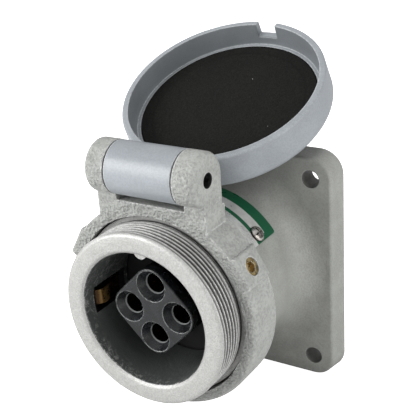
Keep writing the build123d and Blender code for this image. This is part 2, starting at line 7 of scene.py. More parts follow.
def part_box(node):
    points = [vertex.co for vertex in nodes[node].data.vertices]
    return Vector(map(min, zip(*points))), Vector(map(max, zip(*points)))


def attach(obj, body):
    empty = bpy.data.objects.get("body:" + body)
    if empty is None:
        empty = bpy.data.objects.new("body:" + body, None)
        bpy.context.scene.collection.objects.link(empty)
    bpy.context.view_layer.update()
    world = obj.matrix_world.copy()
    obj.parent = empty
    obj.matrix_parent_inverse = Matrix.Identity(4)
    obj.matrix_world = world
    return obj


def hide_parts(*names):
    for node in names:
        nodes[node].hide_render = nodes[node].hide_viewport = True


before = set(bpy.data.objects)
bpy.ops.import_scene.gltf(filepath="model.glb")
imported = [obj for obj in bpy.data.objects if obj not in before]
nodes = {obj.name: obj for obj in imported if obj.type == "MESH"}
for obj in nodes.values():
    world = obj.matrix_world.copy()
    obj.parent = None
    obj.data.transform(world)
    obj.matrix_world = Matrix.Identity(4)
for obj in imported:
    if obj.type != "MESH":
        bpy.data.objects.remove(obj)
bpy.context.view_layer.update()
MM = 0.001

# Housing: one sand casting with a square four-hole flange and a flared round
# neck, blasted and dipped in a satin warm grey enamel. It bolts to a box.
ENAMEL = (0.335, 0.342, 0.318, 1)
ENAMEL_WEAR_AND_HIGHLIGHT = (0.50, 0.505, 0.48, 1)
ENAMEL_DARK_AND_SHADE = (0.09, 0.09, 0.082, 1)
GLOSS_SPREAD = 0.06
BOLT_OFFSET = 44.45 * MM
HOLE_SHADE_R = 4.05 * MM
HOLE_SHADE_WIDTH = 0.25 * MM
HOLE_SHADE = 0.85


def put(tree, kind, inputs=None, **settings):
    """Add one node with its settings, and link or set the inputs that are given."""
    new = tree.nodes.new(kind)
    for name, value in settings.items():
        setattr(new, name, value)
    for socket, value in (inputs or {}).items():
        if isinstance(value, bpy.types.NodeSocket):
            tree.links.new(value, new.inputs[socket])
        else:
            new.inputs[socket].default_value = value
    return new


def calc(tree, operation, *values):
    """The result of one Math node."""
    return put(tree, "ShaderNodeMath", dict(enumerate(values)), operation=operation).outputs[0]


def ease(tree, value, start, end, low=0.0, high=1.0):
    """A smooth step of a value from low at start to high at end."""
    return put(tree, "ShaderNodeMapRange", {"Value": value, "From Min": start, "From Max": end,
                                            "To Min": low, "To Max": high},
               interpolation_type="SMOOTHSTEP").outputs["Result"]


def tint(tree, mask, below, above):
    """One colour that goes over another where the mask is 1."""
    mix = put(tree, "ShaderNodeMix", {0: mask, 6: below, 7: above}, data_type="RGBA")
    return mix.outputs[2]


def effect(name, inputs, outputs):
    """A shader group with named sockets, and its two ends."""
    group = bpy.data.node_groups.new(name, "ShaderNodeTree")
    for label, default in inputs.items():
        kind = "NodeSocketVector" if default is None else "NodeSocketFloat"
        socket = group.interface.new_socket(label, in_out="INPUT", socket_type=kind)
        if default is not None:
            socket.default_value = default
    for label in outputs:
        kind = "NodeSocketVector" if label == "Normal" else "NodeSocketFloat"
        group.interface.new_socket(label, in_out="OUTPUT", socket_type=kind)
    return group, group.nodes.new("NodeGroupInput"), group.nodes.new("NodeGroupOutput")


cast_skin, skin_in, skin_out = effect(
    "cast_skin", {"Vector": None, "Grain": 1500.0, "Swell": 90.0}, ("Height", "Tone", "Fleck", "Speckle"))
fine = put(cast_skin, "ShaderNodeTexNoise", {"Vector": skin_in.outputs["Vector"],
                                             "Scale": skin_in.outputs["Grain"], "Detail": 3.0})
broad = put(cast_skin, "ShaderNodeTexNoise", {"Vector": skin_in.outputs["Vector"],
                                              "Scale": skin_in.outputs["Swell"], "Detail": 4.0})
pits = put(cast_skin, "ShaderNodeTexVoronoi", {"Vector": skin_in.outputs["Vector"],
                                               "Scale": skin_in.outputs["Grain"]})
cast_skin.links.new(calc(cast_skin, "MULTIPLY_ADD", broad.outputs[0], 2.0, fine.outputs[0]),
                    skin_out.inputs["Height"])
cast_skin.links.new(broad.outputs[0], skin_out.inputs["Tone"])
# Painted shade: the speckle darkens the low points of the fine grain.
cast_skin.links.new(ease(cast_skin, fine.outputs[0], 0.56, 0.40), skin_out.inputs["Speckle"])
cast_skin.links.new(ease(cast_skin, pits.outputs["Distance"], 0.28, 0.12), skin_out.inputs["Fleck"])

# Edge mask: worn edges, and painted highlight where rounded edges catch the light.
worn_edge, edge_in, edge_out = effect(
    "worn_edge", {"Vector": None, "Width": 0.0006, "Break": 700.0}, ("Mask", "Normal"))
rounded = put(worn_edge, "ShaderNodeBevel", {"Radius": edge_in.outputs["Width"]}, samples=6)
surface = worn_edge.nodes.new("ShaderNodeNewGeometry")
turned = put(worn_edge, "ShaderNodeVectorMath", {0: rounded.outputs[0], 1: surface.outputs["Normal"]},
             operation="DOT_PRODUCT")
chips = put(worn_edge, "ShaderNodeTexNoise", {"Vector": edge_in.outputs["Vector"],
                                              "Scale": edge_in.outputs["Break"], "Detail": 2.0})
worn_edge.links.new(calc(worn_edge, "MULTIPLY", ease(worn_edge, turned.outputs["Value"], 0.997, 0.93),
                         ease(worn_edge, chips.outputs[0], 0.30, 0.55)), edge_out.inputs["Mask"])
worn_edge.links.new(rounded.outputs[0], edge_out.inputs["Normal"])

# Painted shade: colour darkened in nooks found by ambient occlusion, unevenly in patches.
settled_dirt, nook_in, nook_out = effect(
    "settled_dirt", {"Vector": None, "Reach": 0.004, "Patches": 160.0}, ("Mask",))
nook = put(settled_dirt, "ShaderNodeAmbientOcclusion", {"Distance": nook_in.outputs["Reach"]}, samples=6)
patches = put(settled_dirt, "ShaderNodeTexNoise", {"Vector": nook_in.outputs["Vector"],
                                                   "Scale": nook_in.outputs["Patches"], "Detail": 3.0})
settled_dirt.links.new(calc(settled_dirt, "MULTIPLY", ease(settled_dirt, nook.outputs["AO"], 0.75, 0.2),
                            ease(settled_dirt, patches.outputs[0], 0.25, 0.6, 0.5)),
                       nook_out.inputs["Mask"])


class Finish:
    """A surface built up in coats: tone, flecks, painted shade in the grain's pits and in nooks, and edges
    lightened as wear and painted highlight.
    """

    def __init__(self, name, base, light, dark, roughness=0.45, metallic=0.0, grain=1500.0,
                 swell=90.0, depth=0.05, uneven=0.12, pit_shade=0.1, fleck=0.0, edge_wear_and_highlight=0.5, nook_shade=0.5,
                 edge=0.6, reach=4.0):
        self.material = bpy.data.materials.new(name)
        self.material.use_nodes = True
        self.tree = tree = self.material.node_tree
        self.shader = tree.nodes["Principled BSDF"]
        self.place = tree.nodes.new("ShaderNodeTexCoord").outputs["Object"]
        axes = put(tree, "ShaderNodeSeparateXYZ", {0: self.place}).outputs
        self.x, self.y, self.z = axes
        skin = put(tree, "ShaderNodeGroup", node_tree=cast_skin)
        edge_light_node = put(tree, "ShaderNodeGroup", node_tree=worn_edge)
        nook_shade_node = put(tree, "ShaderNodeGroup", node_tree=settled_dirt)
        for part in (skin, edge_light_node, nook_shade_node):
            tree.links.new(self.place, part.inputs["Vector"])
        skin.inputs["Grain"].default_value = grain
        skin.inputs["Swell"].default_value = swell
        edge_light_node.inputs["Width"].default_value = edge * MM
        nook_shade_node.inputs["Reach"].default_value = reach * MM
        tone = skin.outputs["Tone"]
        self.color = tint(tree, ease(tree, tone, 0.62, 0.38, 0.0, uneven), base, dark)
        # Painted shade in the grain's pits.
        self.lay(dark, calc(tree, "MULTIPLY", skin.outputs["Speckle"], pit_shade))
        self.lay(light, calc(tree, "MULTIPLY", skin.outputs["Fleck"], fleck))
        # Edges lightened: wear and painted highlight.
        self.lay(light, calc(tree, "MULTIPLY", edge_light_node.outputs["Mask"], edge_wear_and_highlight))
        # Painted shade in the nooks.
        self.lay(dark, calc(tree, "MULTIPLY", nook_shade_node.outputs["Mask"], nook_shade))
        self.gloss = ease(tree, tone, 0.3, 0.7, roughness - GLOSS_SPREAD, roughness + GLOSS_SPREAD)
        self.bump = put(tree, "ShaderNodeBump", {"Height": skin.outputs["Height"],
                                                 "Distance": depth * MM, "Strength": 1.0,
                                                 "Normal": edge_light_node.outputs["Normal"]})
        tree.links.new(self.bump.outputs[0], self.shader.inputs["Normal"])
        self.shader.inputs["Metallic"].default_value = metallic

    def lay(self, color, mask):
        """Put one more coat over what is there."""
        self.color = tint(self.tree, mask, self.color, color)

    def ring(self, axis_x, axis_z, centre_x=0.0, centre_z=0.0):
        """Distance from a line that runs front to back."""
        across = calc(self.tree, "SUBTRACT", axis_x, centre_x)
        up = calc(self.tree, "SUBTRACT", axis_z, centre_z)
        square = calc(self.tree, "MULTIPLY_ADD", across, across, calc(self.tree, "MULTIPLY", up, up))
        return calc(self.tree, "SQRT", square)

    def done(self):
        """Connect the finished coats to the shader."""
        self.tree.links.new(self.color, self.shader.inputs["Base Color"])
        self.tree.links.new(self.gloss, self.shader.inputs["Roughness"])
        return self.material


def dress(name, material):
    """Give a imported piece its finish."""
    for place in nodes[name].material_slots:
        place.material = material


enamel = Finish("housing_enamel", ENAMEL, ENAMEL_WEAR_AND_HIGHLIGHT, ENAMEL_DARK_AND_SHADE, roughness=0.46, grain=1300.0,
                depth=0.22, uneven=0.16, pit_shade=0.14, fleck=0.10, edge_wear_and_highlight=0.6, nook_shade=0.6, edge=1.2,
                reach=25.0)
mirrored_x = calc(enamel.tree, "ABSOLUTE", enamel.x)
mirrored_z = calc(enamel.tree, "ABSOLUTE", enamel.z)
hole = enamel.ring(mirrored_x, mirrored_z, BOLT_OFFSET, BOLT_OFFSET)
# Painted shade inside the four bolt holes: their walls darkened.
enamel.lay(ENAMEL_DARK_AND_SHADE, ease(enamel.tree, hole, HOLE_SHADE_R + HOLE_SHADE_WIDTH, HOLE_SHADE_R,
                             0.0, HOLE_SHADE))
dress("housing", enamel.done())

# Nameplate: a thin bright foil curved over the top of the neck, its rear band,
# its ends and one line printed green. Two round-head drive screws hold it.
FOIL = (0.72, 0.73, 0.71, 1)
FOIL_BRIGHT = (0.85, 0.85, 0.84, 1)
FOIL_DULL = (0.40, 0.41, 0.40, 1)
FOIL_METAL = 0.4
PRINT_GREEN = (0.003, 0.085, 0.036, 1)
REAR_BAND = 30.0 * MM
LINE_DEPTH = 36.9 * MM
LINE_HALF = 1.2 * MM
END_ANGLE = math.radians(38.4)

foil = Finish("nameplate_foil", FOIL, FOIL_BRIGHT, FOIL_DULL, roughness=0.32,
              metallic=FOIL_METAL, grain=3000.0, swell=140.0, depth=0.006, uneven=0.45, edge_wear_and_highlight=0.3,
              nook_shade=0.5, edge=0.2, reach=1.6)
depth = calc(foil.tree, "MULTIPLY", foil.y, -1.0)
off_line = calc(foil.tree, "ABSOLUTE", calc(foil.tree, "SUBTRACT", depth, LINE_DEPTH))
turn_up = calc(foil.tree, "ARCTAN2", foil.z, calc(foil.tree, "ABSOLUTE", foil.x))
behind_line = calc(foil.tree, "LESS_THAN", depth, LINE_DEPTH)
end_band = calc(foil.tree, "MULTIPLY", calc(foil.tree, "LESS_THAN", turn_up, END_ANGLE), behind_line)
green = calc(foil.tree, "MAXIMUM", calc(foil.tree, "LESS_THAN", depth, REAR_BAND), end_band)
green = calc(foil.tree, "MAXIMUM", green, calc(foil.tree, "LESS_THAN", off_line, LINE_HALF))
foil.lay(PRINT_GREEN, green)
foil.tree.links.new(calc(foil.tree, "MULTIPLY_ADD", green, -FOIL_METAL, FOIL_METAL),
                    foil.shader.inputs["Metallic"])
dress("nameplate", foil.done())

HEAD_R = 3.7
HEAD_HEIGHT = 1.9
HEAD_SLOT = 0.8
SCREW_SEAT_R = 40.1
SCREW_ANGLE = math.radians(40.4)
SCREW_DEPTH = 34.8
SLOT_LENGTH = 1.3
HEAD_FOOT_R = 40.5 * MM
FOOT_SHADE_R = 41.1 * MM
SCREW_STEEL = (0.60, 0.58, 0.55, 1)
SCREW_BRIGHT = (0.95, 0.95, 0.95, 1)
SCREW_DARK = (0.06, 0.045, 0.035, 1)
FOOT_SHADE = (0.03, 0.022, 0.018, 1)

bright_steel = Finish("drive_screw_steel", SCREW_STEEL, SCREW_BRIGHT, SCREW_DARK,
                      roughness=0.22, metallic=0.9, grain=2600.0, swell=500.0, depth=0.03,
                      uneven=0.7, edge_wear_and_highlight=0.4, nook_shade=0.9, edge=0.2, reach=1.4)
# Painted shade: each head darkened at its foot, where it meets the plate.
painted_foot_shade = ease(bright_steel.tree, bright_steel.ring(bright_steel.x, bright_steel.z),
                 FOOT_SHADE_R, HEAD_FOOT_R)
bright_steel.lay(FOOT_SHADE, painted_foot_shade)
bright_steel.done()


def growth(name, start, tree, values):
    """Run a Geometry Nodes tree on a starting mesh and keep the plain result."""
    base = bpy.data.objects.new(name + "_start", start)
    bpy.context.scene.collection.objects.link(base)
    modifier = base.modifiers.new(name, "NODES")
    modifier.node_group = tree
    for item in tree.interface.items_tree:
        if item.item_type == "SOCKET" and item.in_out == "INPUT" and item.name in values:
            modifier[item.identifier] = values[item.name]
    bpy.context.view_layer.update()
    grown = bpy.data.meshes.new_from_object(base.evaluated_get(
        bpy.context.evaluated_depsgraph_get()))
    base.modifiers.clear()
    bpy.data.objects.remove(base)
    piece = bpy.data.objects.new(name, grown)
    grown.name = name
    bpy.context.scene.collection.objects.link(piece)
    return piece


def growing_tree(name, inputs):
    """An empty Geometry Nodes tree with a mesh in, a mesh out and named sizes."""
    tree = bpy.data.node_groups.new(name, "GeometryNodeTree")
    tree.interface.new_socket("Geometry", in_out="INPUT", socket_type="NodeSocketGeometry")
    for label in inputs:
        tree.interface.new_socket(label, in_out="INPUT", socket_type="NodeSocketFloat")
    tree.interface.new_socket("Geometry", in_out="OUTPUT", socket_type="NodeSocketGeometry")
    return tree, tree.nodes.new("NodeGroupInput"), tree.nodes.new("NodeGroupOutput")


def close_tree(tree, geometry, end, material):
    """Finish a tree with plain geometry in one material."""
    plain = put(tree, "GeometryNodeRealizeInstances", {"Geometry": geometry})
    dressed = put(tree, "GeometryNodeSetMaterial", {"Geometry": plain.outputs[0], "Material": material})
    tree.links.new(dressed.outputs[0], end.inputs["Geometry"])


screw_sizes = {"Head radius": HEAD_R * MM, "Head height": HEAD_HEIGHT * MM, "Slot": HEAD_SLOT * MM}
screw_tree, sizes_in, screws_end = growing_tree("drive_screws", screw_sizes)
ball = put(screw_tree, "GeometryNodeMeshUVSphere", {"Segments": 48, "Rings": 24, "Radius": 1.0})
dome_scale = put(screw_tree, "ShaderNodeCombineXYZ", {0: sizes_in.outputs["Head radius"],
                                                      1: sizes_in.outputs["Head radius"],
                                                      2: sizes_in.outputs["Head height"]})
dome = put(screw_tree, "GeometryNodeTransform", {"Geometry": ball.outputs[0],
                                                 "Scale": dome_scale.outputs[0]})
slot_size = put(screw_tree, "ShaderNodeCombineXYZ", {
    0: calc(screw_tree, "MULTIPLY", sizes_in.outputs["Head radius"], SLOT_LENGTH),
    1: sizes_in.outputs["Slot"], 2: sizes_in.outputs["Head height"]})
bar = put(screw_tree, "GeometryNodeMeshCube", {"Size": slot_size.outputs[0]})
bar_lift = put(screw_tree, "ShaderNodeCombineXYZ", {2: sizes_in.outputs["Head height"]})
bar_up = put(screw_tree, "GeometryNodeTransform", {"Geometry": bar.outputs[0],
                                                   "Translation": bar_lift.outputs[0]})
bar_across = put(screw_tree, "GeometryNodeTransform", {"Geometry": bar_up.outputs[0],
                                                       "Rotation": (0, 0, math.pi / 2)})
slotted = put(screw_tree, "GeometryNodeMeshBoolean", {"Mesh 1": dome.outputs[0],
                                                      "Mesh 2": bar_up.outputs[0]},
              operation="DIFFERENCE")
screw_tree.links.new(bar_across.outputs[0], slotted.inputs["Mesh 2"])
place_in = screw_tree.nodes.new("GeometryNodeInputPosition")
radial = put(screw_tree, "ShaderNodeVectorMath", {0: place_in.outputs[0], 1: (1, 0, 1)},
             operation="MULTIPLY")
upright = put(screw_tree, "FunctionNodeAlignRotationToVector", {"Vector": radial.outputs[0]}, axis="Z")
placed = put(screw_tree, "GeometryNodeInstanceOnPoints", {
    "Points": sizes_in.outputs["Geometry"], "Instance": slotted.outputs[0],
    "Rotation": upright.outputs[0]})
close_tree(screw_tree, placed.outputs[0], screws_end, bright_steel.material)
seats = bpy.data.meshes.new("screw_seats")
reach = SCREW_SEAT_R * math.cos(SCREW_ANGLE) * MM
height = SCREW_SEAT_R * math.sin(SCREW_ANGLE) * MM
seats.from_pydata([(reach, -SCREW_DEPTH * MM, height), (-reach, -SCREW_DEPTH * MM, height)], [], [])
screws = growth("nameplate_drive_screws", seats, screw_tree, screw_sizes)
screws.data.shade_smooth()
screws.data.set_sharp_from_angle(angle=math.radians(35))
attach(screws, "root")
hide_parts("nameplate_screws")

# Threaded sleeve: a bright aluminium casting, turned on its nose and cut with
# the thread for the plug's ring. Its bore is painted dark grey as shade. It
# screws into the neck and traps the hinge collar with its stop ring.
BRIGHT = (0.50, 0.50, 0.485, 1)
BRIGHT_CUT = (0.93, 0.93, 0.92, 1)
BRIGHT_DULL = (0.20, 0.20, 0.19, 1)
BORE_SHADE = (0.062, 0.068, 0.065, 1)
GROOVE_DARK = (0.035, 0.035, 0.033, 1)
CHANNEL_SHADOW = (0.004, 0.004, 0.004, 1)
SLEEVE_METAL = 0.35
NICK_SCALE = 900.0
SCUFF_SCALE = 330.0
SCUFF_STRENGTH = 0.7
GROOVE_SHADE = 0.9
GROOVE_TOP_R = 39.62 * MM
GROOVE_FLOOR_R = 38.95 * MM
THREADED_R = 38.45 * MM
THREADED_DEPTH = 81.3 * MM
LIP_BACK_R = 34.5 * MM
LIP_BACK_DEPTH = 74.85 * MM
SHADED_BORE_R = 30.9 * MM
CHANNEL_SHADE_R = 30.75 * MM
MOUTH_RUB = (-74.0 * MM, -81.0 * MM)
HIGH_LEFT_RUB = (18.0 * MM, 34.0 * MM)
SLEEVE_OUTLINE = [(50.0, 30.6), (50.0, 35.95), (62.0, 35.95), (62.0, 41.3), (62.1, 41.4),
                  (65.9, 41.4), (66.0, 41.3), (66.0, 38.4), (68.3, 38.4), (68.5, 39.7)]
SLEEVE_NOSE = [(81.3, 39.6), (82.0, 38.9), (82.25, 38.3), (82.3, 38.0), (82.3, 32.3),
               (82.2, 31.95), (81.9, 31.5), (81.0, 30.6), (78.0, 30.6), (72.0, 30.6), (60.0, 30.6)]
THREAD_ROWS = 92
THREAD_CREST = 39.7
THREAD_FRONT = 81.2
THREAD_BACK = 68.5
ROWS_START = 0.2
ROWS_END = 0.1
TURNS_PER_RADIAN = 0.5 / math.pi
VEE_STEEPNESS = 2.6
CREST_TOLERANCE = 0.02 * MM
FLAT_HALF = 0.02
FLAT_EDGE = 0.045
FLAT_CUT = 0.35
SIDES = 288
CHANNEL = (6.0, 22.8, 12.5)
CHANNEL_X = 30.6
CHANNEL_DEPTH = 63.4
CHANNEL_Z = -0.6
KEY_Z = 30.4
KEY_DEPTH = 69.6
KEY_LENGTH = 18.0
KEY_SHINE_R = 3.3 * MM
KEY_SHINE_DEPTH = 76.8 * MM
sleeve_sizes = {"Pitch": 25.4 / 12 * MM, "Groove depth": 1.2 * MM, "Thread front": THREAD_FRONT * MM,
                "Thread back": THREAD_BACK * MM, "Crest radius": THREAD_CREST * MM,
                "Flat angle": math.radians(-33), "Key radius": 3.2 * MM}

turned_alloy = Finish("sleeve_aluminium", BRIGHT, BRIGHT_CUT, BRIGHT_DULL, roughness=0.42,
                      metallic=SLEEVE_METAL, grain=1900.0, swell=420.0, depth=0.14, uneven=0.10,
                      pit_shade=0.30, fleck=0.5, edge_wear_and_highlight=0.9, nook_shade=0.6, edge=0.5, reach=2.0)
tree = turned_alloy.tree
from_axis = turned_alloy.ring(turned_alloy.x, turned_alloy.z)
nicks = put(tree, "ShaderNodeTexNoise", {"Vector": turned_alloy.place, "Scale": NICK_SCALE,
                                         "Detail": 5.0, "Roughness": 0.8})
turned_alloy.lay(BRIGHT_DULL, ease(tree, nicks.outputs[0], 0.60, 0.72, 0.0, 0.5))
threads_only = calc(tree, "MULTIPLY", calc(tree, "GREATER_THAN", from_axis, THREADED_R),
                    calc(tree, "GREATER_THAN", turned_alloy.y, -THREADED_DEPTH))
# Painted shade in the thread's grooves.
painted_groove_shade = calc(tree, "MULTIPLY", ease(tree, from_axis, GROOVE_TOP_R, GROOVE_FLOOR_R), threads_only)
turned_alloy.lay(GROOVE_DARK, calc(tree, "MULTIPLY", painted_groove_shade, GROOVE_SHADE))
behind_lip = calc(tree, "MULTIPLY", calc(tree, "LESS_THAN", from_axis, LIP_BACK_R),
                  calc(tree, "GREATER_THAN", turned_alloy.y, -LIP_BACK_DEPTH))
# Painted shade: the bore coloured dark grey and less metallic, lifted where scuffed.
bore_in_shade = calc(tree, "MAXIMUM", calc(tree, "LESS_THAN", from_axis, SHADED_BORE_R), behind_lip)
key_nose = calc(tree, "MULTIPLY",
                calc(tree, "LESS_THAN", turned_alloy.ring(turned_alloy.x, turned_alloy.z, 0.0,
                                                          KEY_Z * MM), KEY_SHINE_R),
                calc(tree, "LESS_THAN", turned_alloy.y, -KEY_SHINE_DEPTH))
scuffs = put(tree, "ShaderNodeTexNoise", {"Vector": turned_alloy.place, "Scale": SCUFF_SCALE,
                                          "Detail": 6.0, "Roughness": 0.8, "Distortion": 1.2})
near_mouth = ease(tree, turned_alloy.y, *MOUTH_RUB)
high_left = ease(tree, calc(tree, "SUBTRACT", turned_alloy.z, turned_alloy.x), *HIGH_LEFT_RUB)
rubbed = calc(tree, "MULTIPLY", calc(tree, "MAXIMUM", near_mouth, high_left),
              ease(tree, scuffs.outputs[0], 0.50, 0.62))
bore_shade_mix = calc(tree, "MULTIPLY", bore_in_shade, calc(tree, "MULTIPLY_ADD", rubbed, -SCUFF_STRENGTH, 1.0))
bore_shade_mix = calc(tree, "MULTIPLY", bore_shade_mix, calc(tree, "SUBTRACT", 1.0, key_nose))
turned_alloy.lay(BORE_SHADE, bore_shade_mix)
# Painted shadow: the side channels behind the lip coloured black.
painted_channel_shadow = calc(tree, "MULTIPLY", behind_lip, calc(tree, "GREATER_THAN", from_axis, CHANNEL_SHADE_R))
turned_alloy.lay(CHANNEL_SHADOW, painted_channel_shadow)
tree.links.new(calc(tree, "MULTIPLY_ADD", bore_shade_mix, -SLEEVE_METAL, SLEEVE_METAL),
               turned_alloy.shader.inputs["Metallic"])
turned_alloy.done()


def lathe(name, outline):
    """A closed ring of faces from (depth, radius) corners in millimetres."""
    angles = np.arange(SIDES) * 2 * math.pi / SIDES
    corners = np.array(outline) * MM
    points = [(r * math.cos(a), -d, r * math.sin(a)) for a in angles for d, r in corners]
    count = len(corners)
    faces = []
    for side in range(SIDES):
        here, there = side * count, (side + 1) % SIDES * count
        for k in range(count):
            following = (k + 1) % count
            faces.append((here + k, here + following, there + following, there + k))
    mesh = bpy.data.meshes.new(name)
    mesh.from_pydata(points, [], faces)
    return mesh


rows_length = THREAD_FRONT - THREAD_BACK - ROWS_START - ROWS_END
thread_rows = [(THREAD_BACK + ROWS_START + rows_length * k / THREAD_ROWS, THREAD_CREST)
               for k in range(THREAD_ROWS + 1)]
blank = lathe("sleeve_blank", SLEEVE_OUTLINE + thread_rows + SLEEVE_NOSE)
thread_tree, cut_in, cut_end = growing_tree("thread_and_channels", sleeve_sizes)
spot = put(thread_tree, "ShaderNodeSeparateXYZ",
           {0: thread_tree.nodes.new("GeometryNodeInputPosition").outputs[0]}).outputs
forwards = calc(thread_tree, "MULTIPLY", spot[1], -1.0)
flat_place = put(thread_tree, "ShaderNodeCombineXYZ", {0: spot[0], 2: spot[2]}).outputs[0]
radius = put(thread_tree, "ShaderNodeVectorMath", {0: flat_place}, operation="LENGTH").outputs["Value"]
bearing = calc(thread_tree, "ARCTAN2", spot[2], spot[0])
behind_front = calc(thread_tree, "DIVIDE", calc(thread_tree, "SUBTRACT", cut_in.outputs["Thread front"],
                                                forwards), cut_in.outputs["Pitch"])
phase = calc(thread_tree, "FRACT", calc(thread_tree, "MULTIPLY_ADD", bearing, TURNS_PER_RADIAN,
                                             behind_front))
vee = calc(thread_tree, "MINIMUM", calc(thread_tree, "MULTIPLY", calc(
    thread_tree, "PINGPONG", phase, 0.5), VEE_STEEPNESS), 1.0)
run_out = calc(thread_tree, "DIVIDE", calc(thread_tree, "SUBTRACT", forwards,
                                           cut_in.outputs["Thread back"]), cut_in.outputs["Pitch"])
fade = calc(thread_tree, "MULTIPLY", put(thread_tree, "ShaderNodeClamp", {0: behind_front}).outputs[0],
            put(thread_tree, "ShaderNodeClamp", {0: run_out}).outputs[0])
off_flat = calc(thread_tree, "ABSOLUTE", calc(thread_tree, "SUBTRACT", bearing,
                                              cut_in.outputs["Flat angle"]))
whole = put(thread_tree, "ShaderNodeMapRange", {"Value": off_flat, "From Min": FLAT_HALF,
                                                "From Max": FLAT_EDGE, "To Min": FLAT_CUT,
                                                "To Max": 1.0}).outputs["Result"]
cut = calc(thread_tree, "MULTIPLY", calc(thread_tree, "MULTIPLY", vee, fade),
           calc(thread_tree, "MULTIPLY", whole, cut_in.outputs["Groove depth"]))
on_crest = calc(thread_tree, "GREATER_THAN", radius, calc(thread_tree, "SUBTRACT",
                                                          cut_in.outputs["Crest radius"], CREST_TOLERANCE))
in_thread = calc(thread_tree, "MULTIPLY", on_crest, calc(
    thread_tree, "GREATER_THAN", forwards, cut_in.outputs["Thread back"]))
inwards = put(thread_tree, "ShaderNodeVectorMath", {
    0: put(thread_tree, "ShaderNodeVectorMath", {0: flat_place}, operation="NORMALIZE").outputs[0],
    "Scale": calc(thread_tree, "MULTIPLY", cut, -1.0)}, operation="SCALE").outputs[0]
threaded = put(thread_tree, "GeometryNodeSetPosition", {
    "Geometry": cut_in.outputs["Geometry"], "Selection": in_thread, "Offset": inwards})
channels = put(thread_tree, "GeometryNodeMeshBoolean", {"Mesh 1": threaded.outputs[0]},
               operation="DIFFERENCE")
for side in (-1, 1):
    block = put(thread_tree, "GeometryNodeMeshCube", {"Size": Vector(CHANNEL) * MM})
    moved = put(thread_tree, "GeometryNodeTransform", {
        "Geometry": block.outputs[0],
        "Translation": Vector((side * CHANNEL_X, -CHANNEL_DEPTH, CHANNEL_Z)) * MM})
    thread_tree.links.new(moved.outputs[0], channels.inputs["Mesh 2"])
key_bar = put(thread_tree, "GeometryNodeMeshCylinder", {"Vertices": 48, "Depth": KEY_LENGTH * MM,
                                                        "Radius": cut_in.outputs["Key radius"]})
key_place = put(thread_tree, "GeometryNodeTransform", {
    "Geometry": key_bar.outputs["Mesh"], "Rotation": (math.pi / 2, 0, 0),
    "Translation": Vector((0, -KEY_DEPTH, KEY_Z)) * MM})
keyed = put(thread_tree, "GeometryNodeMeshBoolean", {"Mesh 2": channels.outputs[0]}, operation="UNION")
thread_tree.links.new(key_place.outputs[0], keyed.inputs["Mesh 2"])
close_tree(thread_tree, keyed.outputs[0], cut_end, turned_alloy.material)
sleeve = growth("cut_sleeve", blank, thread_tree, sleeve_sizes)
sleeve.data.shade_smooth()
sleeve.data.set_sharp_from_angle(angle=math.radians(32))
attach(sleeve, "root")
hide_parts("threaded_sleeve")

# Grounding leaves: two bowed brass strips riveted into the sleeve's side
# channels, bright where the plug rubs their crest and brown elsewhere.
LEAF_CREST_DEPTH = 67.5 * MM
LEAF_RUBBED_HALF = 1.4 * MM
LEAF_BROWN_HALF = 4.4 * MM
LEAF_BRASS = (0.62, 0.38, 0.14, 1)
LEAF_BRIGHT = (0.95, 0.70, 0.35, 1)
LEAF_DARK = (0.035, 0.018, 0.008, 1)
LEAF_BROWN = (0.03, 0.016, 0.008, 1)
leaf = Finish("leaf_brass", LEAF_BRASS, LEAF_BRIGHT, LEAF_DARK,
              roughness=0.30, metallic=0.9, grain=2500.0, swell=400.0, depth=0.02, uneven=0.4,
              edge_wear_and_highlight=0.2, nook_shade=0.3, edge=0.2, reach=3.0)
along = calc(leaf.tree, "ABSOLUTE", calc(leaf.tree, "ADD", leaf.y, LEAF_CREST_DEPTH))
leaf.lay(LEAF_BROWN, ease(leaf.tree, along, LEAF_RUBBED_HALF, LEAF_BROWN_HALF, 0.0, 0.97))
leaf.done()
for name in ("ground_leaf_left", "ground_leaf_right", "ground_leaf_rivets"):
    dress(name, leaf.material)

# Insulators: black phenolic, moulded in three pieces. The square post carries
# the four flared openings, the disc and the rear plate hold the contacts.
CONTACT_OFFSET = 12.1 * MM
THROAT_DEPTH = 69.7 * MM
THROAT_RIM = (0.55 * MM, 0.1 * MM)
THROAT_REACH = (5.6 * MM, 5.1 * MM)
THROAT_SHADOW_START = (-69.5 * MM, -69.1 * MM)
PHENOLIC = (0.012, 0.014, 0.016, 1)
PHENOLIC_WEAR_AND_HIGHLIGHT = (0.30, 0.31, 0.31, 1)
PHENOLIC_DARK = (0.002, 0.002, 0.002, 1)
THROAT_HIGHLIGHT = (0.24, 0.25, 0.25, 1)
THROAT_SHADOW = (0.001, 0.001, 0.001, 1)
DISC_PHENOLIC_SHADED = (0.006, 0.006, 0.006, 1)
DISC_WEAR_AND_HIGHLIGHT = (0.05, 0.05, 0.05, 1)
post_skin = Finish("post_phenolic", PHENOLIC, PHENOLIC_WEAR_AND_HIGHLIGHT, PHENOLIC_DARK,
                   roughness=0.24, grain=2400.0, swell=260.0, depth=0.05,
                   uneven=0.6, edge_wear_and_highlight=1.0, nook_shade=0.9, edge=0.6, reach=5.0)
tree = post_skin.tree
side_x = calc(tree, "ABSOLUTE", post_skin.x)
side_z = calc(tree, "ABSOLUTE", post_skin.z)
throat = post_skin.ring(calc(tree, "MAXIMUM", side_x, side_z), calc(tree, "MINIMUM", side_x, side_z),
                        CONTACT_OFFSET)
near_end = calc(tree, "ABSOLUTE", calc(tree, "ADD", post_skin.y, THROAT_DEPTH))
# Painted highlight: a light ring round the end of each throat.
painted_throat_highlight = calc(tree, "MULTIPLY", ease(tree, near_end, *THROAT_RIM),
                  ease(tree, throat, *THROAT_REACH))
post_skin.lay(THROAT_HIGHLIGHT, painted_throat_highlight)
